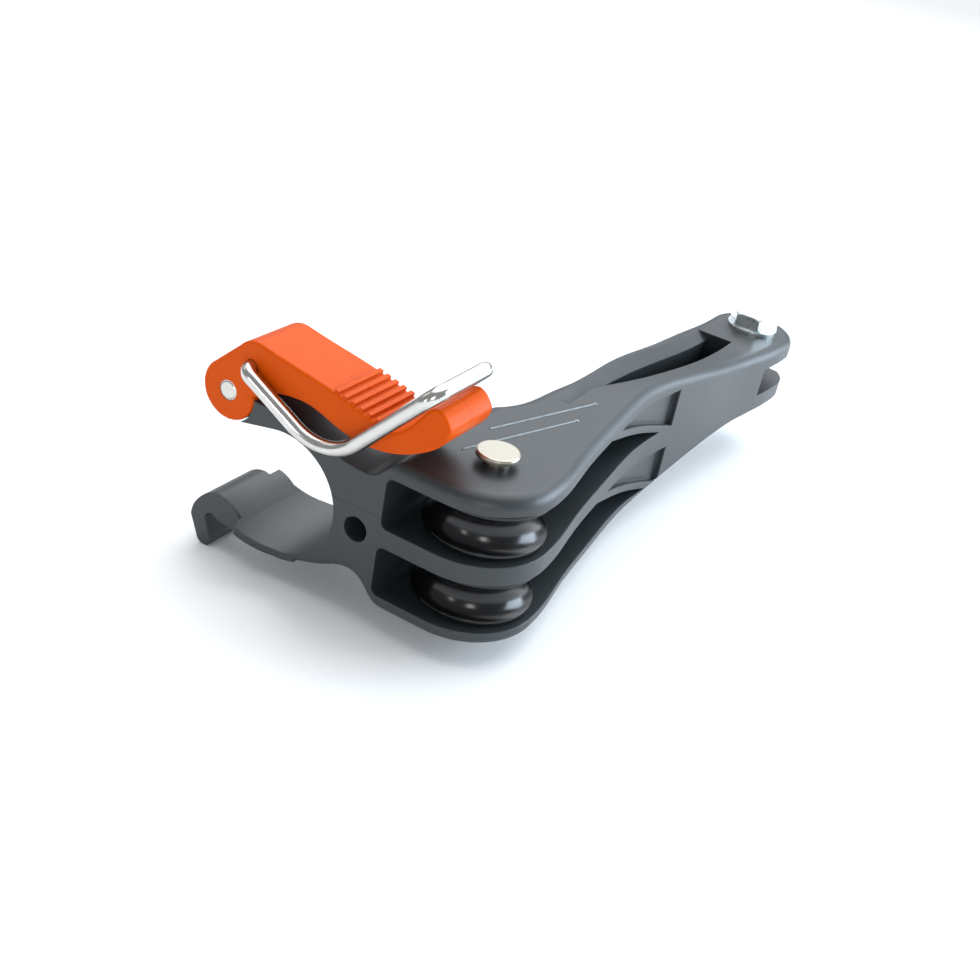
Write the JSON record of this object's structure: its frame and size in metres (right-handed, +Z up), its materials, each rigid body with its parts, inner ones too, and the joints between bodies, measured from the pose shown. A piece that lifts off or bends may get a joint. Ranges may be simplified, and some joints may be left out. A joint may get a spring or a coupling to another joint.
{
  "type": "tube clamp with twin sheave block",
  "caption": "Tube clamp with an over-centre lever and wire bail, a cage of stacked rope sheaves and a bolted fork arm.",
  "frame": {"origin": "on the clamped tube's axis, at the clamp's front face", "axes": "+X across the front face towards the sheaves, +Y back along the tube's axis to the fork, +Z up the sheave pin"},
  "size_m": [0.0841, 0.1837, 0.0642],
  "materials": {
    "moulding": "charcoal glass-filled nylon, fine moulded texture",
    "lever": "orange moulded plastic, satin",
    "sheave": "black acetal, glossy",
    "stainless": "polished stainless steel",
    "zinc_steel": "bright zinc plate",
    "washer_plastic": "natural acetal",
    "nylon_insert": "blue nylon"
  },
  "bodies": {
    "frame": {"frame_moulding": "moulding", "sheave_pin": "stainless", "pin_end_washer": "stainless", "pin_clip": "stainless", "fork_bolt": "zinc_steel", "fork_washer_top": "zinc_steel", "fork_washer_bottom": "zinc_steel", "fork_nut": "zinc_steel", "fork_nut_insert": "nylon_insert", "upper_thrust_washer_top": "washer_plastic", "upper_thrust_washer_bottom": "washer_plastic", "lower_thrust_washer_top": "washer_plastic", "lower_thrust_washer_bottom": "washer_plastic"},
    "lever": {"latch_lever": "lever", "lever_pin": "stainless"},
    "bail": {"wire_bail": "stainless"},
    "upper_sheave": {"upper_sheave": "sheave", "upper_sheave_bush": "stainless"},
    "lower_sheave": {"lower_sheave": "sheave", "lower_sheave_bush": "stainless"}
  },
  "joints": [
    {"name": "lever_pivot", "type": "hinge", "parent": "frame", "child": "lever", "pos_m": [-0.0164, 0.0084, 0.0189], "axis": [0, -1, 0], "range_deg": [0, 140]},
    {"name": "bail_pivot", "type": "hinge", "parent": "lever", "child": "bail", "pos_m": [-0.0106, 0.0084, 0.0267], "axis": [0, -1, 0], "range_deg": [-1, 112]},
    {"name": "upper_sheave_spin", "type": "hinge", "parent": "frame", "child": "upper_sheave", "pos_m": [0.043, 0.0167, 0.0096], "axis": [0, 0, 1], "continuous": true},
    {"name": "lower_sheave_spin", "type": "hinge", "parent": "frame", "child": "lower_sheave", "pos_m": [0.043, 0.0167, -0.0074], "axis": [0, 0, 1], "continuous": true}
  ]
}
